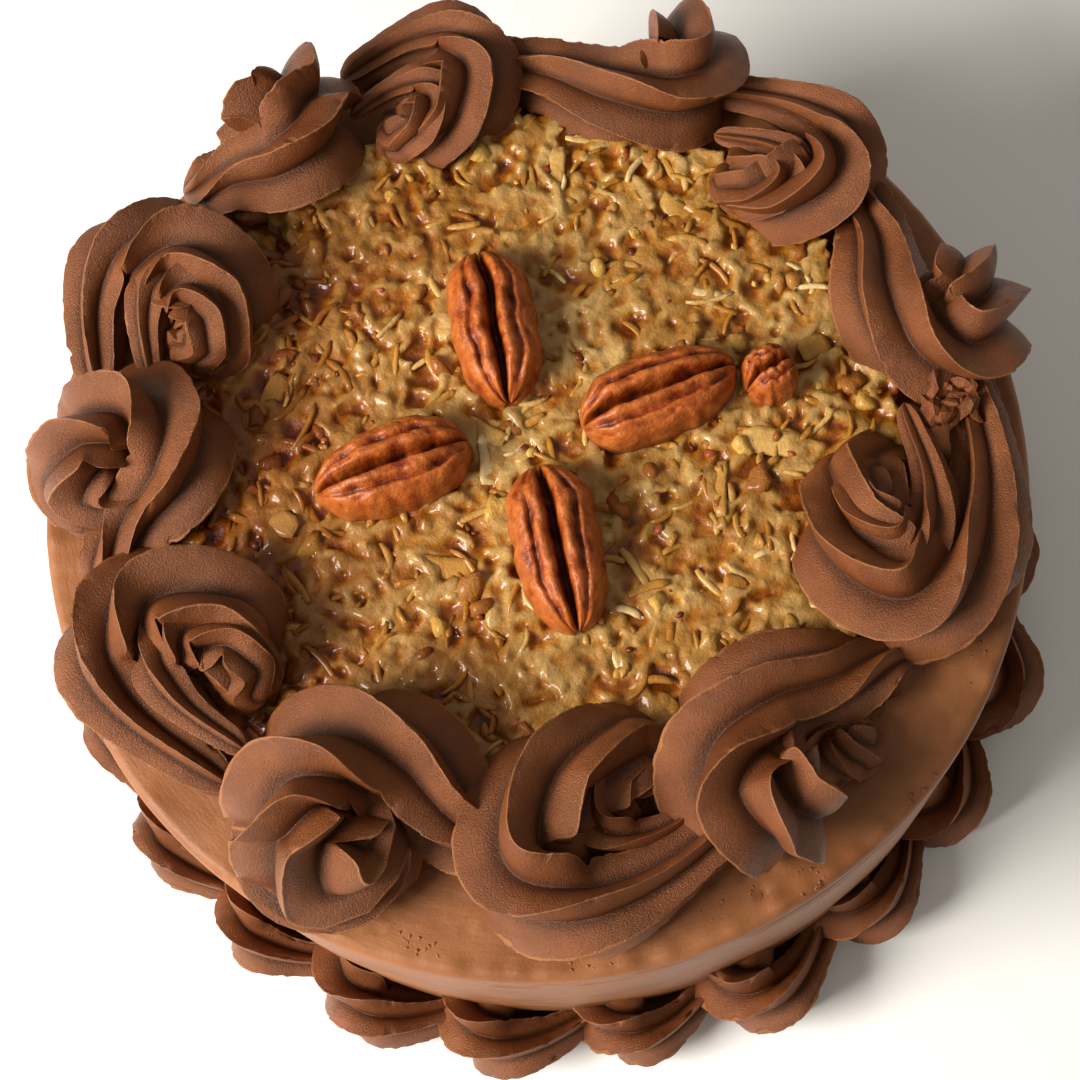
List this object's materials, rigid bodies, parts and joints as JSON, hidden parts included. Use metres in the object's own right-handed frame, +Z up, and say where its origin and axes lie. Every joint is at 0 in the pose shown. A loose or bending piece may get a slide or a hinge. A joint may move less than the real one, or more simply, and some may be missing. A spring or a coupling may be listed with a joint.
{
  "type": "german chocolate layer cake",
  "caption": "Round layer cake with spread chocolate icing, a ring of piped rope swirls, a piped shell border round the foot and a glossy coconut pecan topping with pecan halves.",
  "frame": {"origin": "centre of the cake's flat underside, on the axis of the iced body", "axes": "+Z up along the cake's axis; the picture looks at it from the -Y side; +X is the picture's right"},
  "size_m": [0.2359, 0.238, 0.1175],
  "materials": {
    "spread_chocolate_icing": "soft satin, spread with a spatula",
    "piped_chocolate_icing": "soft satin, ridged by a star nozzle",
    "coconut_pecan_topping": "glossy sticky custard with coconut and nuts",
    "pecan": "wrinkled nut, slightly oily"
  },
  "bodies": {
    "root": {"iced_cake": "spread_chocolate_icing", "coconut_pecan_topping": "coconut_pecan_topping", "top_swirl_01": "piped_chocolate_icing", "top_swirl_02": "piped_chocolate_icing", "top_swirl_03": "piped_chocolate_icing", "top_swirl_04": "piped_chocolate_icing", "top_swirl_05": "piped_chocolate_icing", "top_swirl_06": "piped_chocolate_icing", "top_swirl_07": "piped_chocolate_icing", "top_swirl_08": "piped_chocolate_icing", "top_swirl_09": "piped_chocolate_icing", "top_swirl_10": "piped_chocolate_icing", "top_swirl_11": "piped_chocolate_icing", "top_swirl_12": "piped_chocolate_icing", "foot_shell_01": "piped_chocolate_icing", "foot_shell_02": "piped_chocolate_icing", "foot_shell_03": "piped_chocolate_icing", "foot_shell_04": "piped_chocolate_icing", "foot_shell_05": "piped_chocolate_icing", "foot_shell_06": "piped_chocolate_icing", "foot_shell_07": "piped_chocolate_icing", "foot_shell_08": "piped_chocolate_icing", "foot_shell_09": "piped_chocolate_icing", "foot_shell_10": "piped_chocolate_icing", "foot_shell_11": "piped_chocolate_icing", "foot_shell_12": "piped_chocolate_icing", "foot_shell_13": "piped_chocolate_icing", "foot_shell_14": "piped_chocolate_icing", "foot_shell_15": "piped_chocolate_icing", "foot_shell_16": "piped_chocolate_icing", "foot_shell_17": "piped_chocolate_icing", "foot_shell_18": "piped_chocolate_icing", "foot_shell_19": "piped_chocolate_icing", "foot_shell_20": "piped_chocolate_icing", "foot_shell_21": "piped_chocolate_icing", "foot_shell_22": "piped_chocolate_icing", "pecan_half_1": "pecan", "pecan_half_2": "pecan", "pecan_half_3": "pecan", "pecan_half_4": "pecan", "pecan_piece": "pecan"}
  },
  "joints": []
}
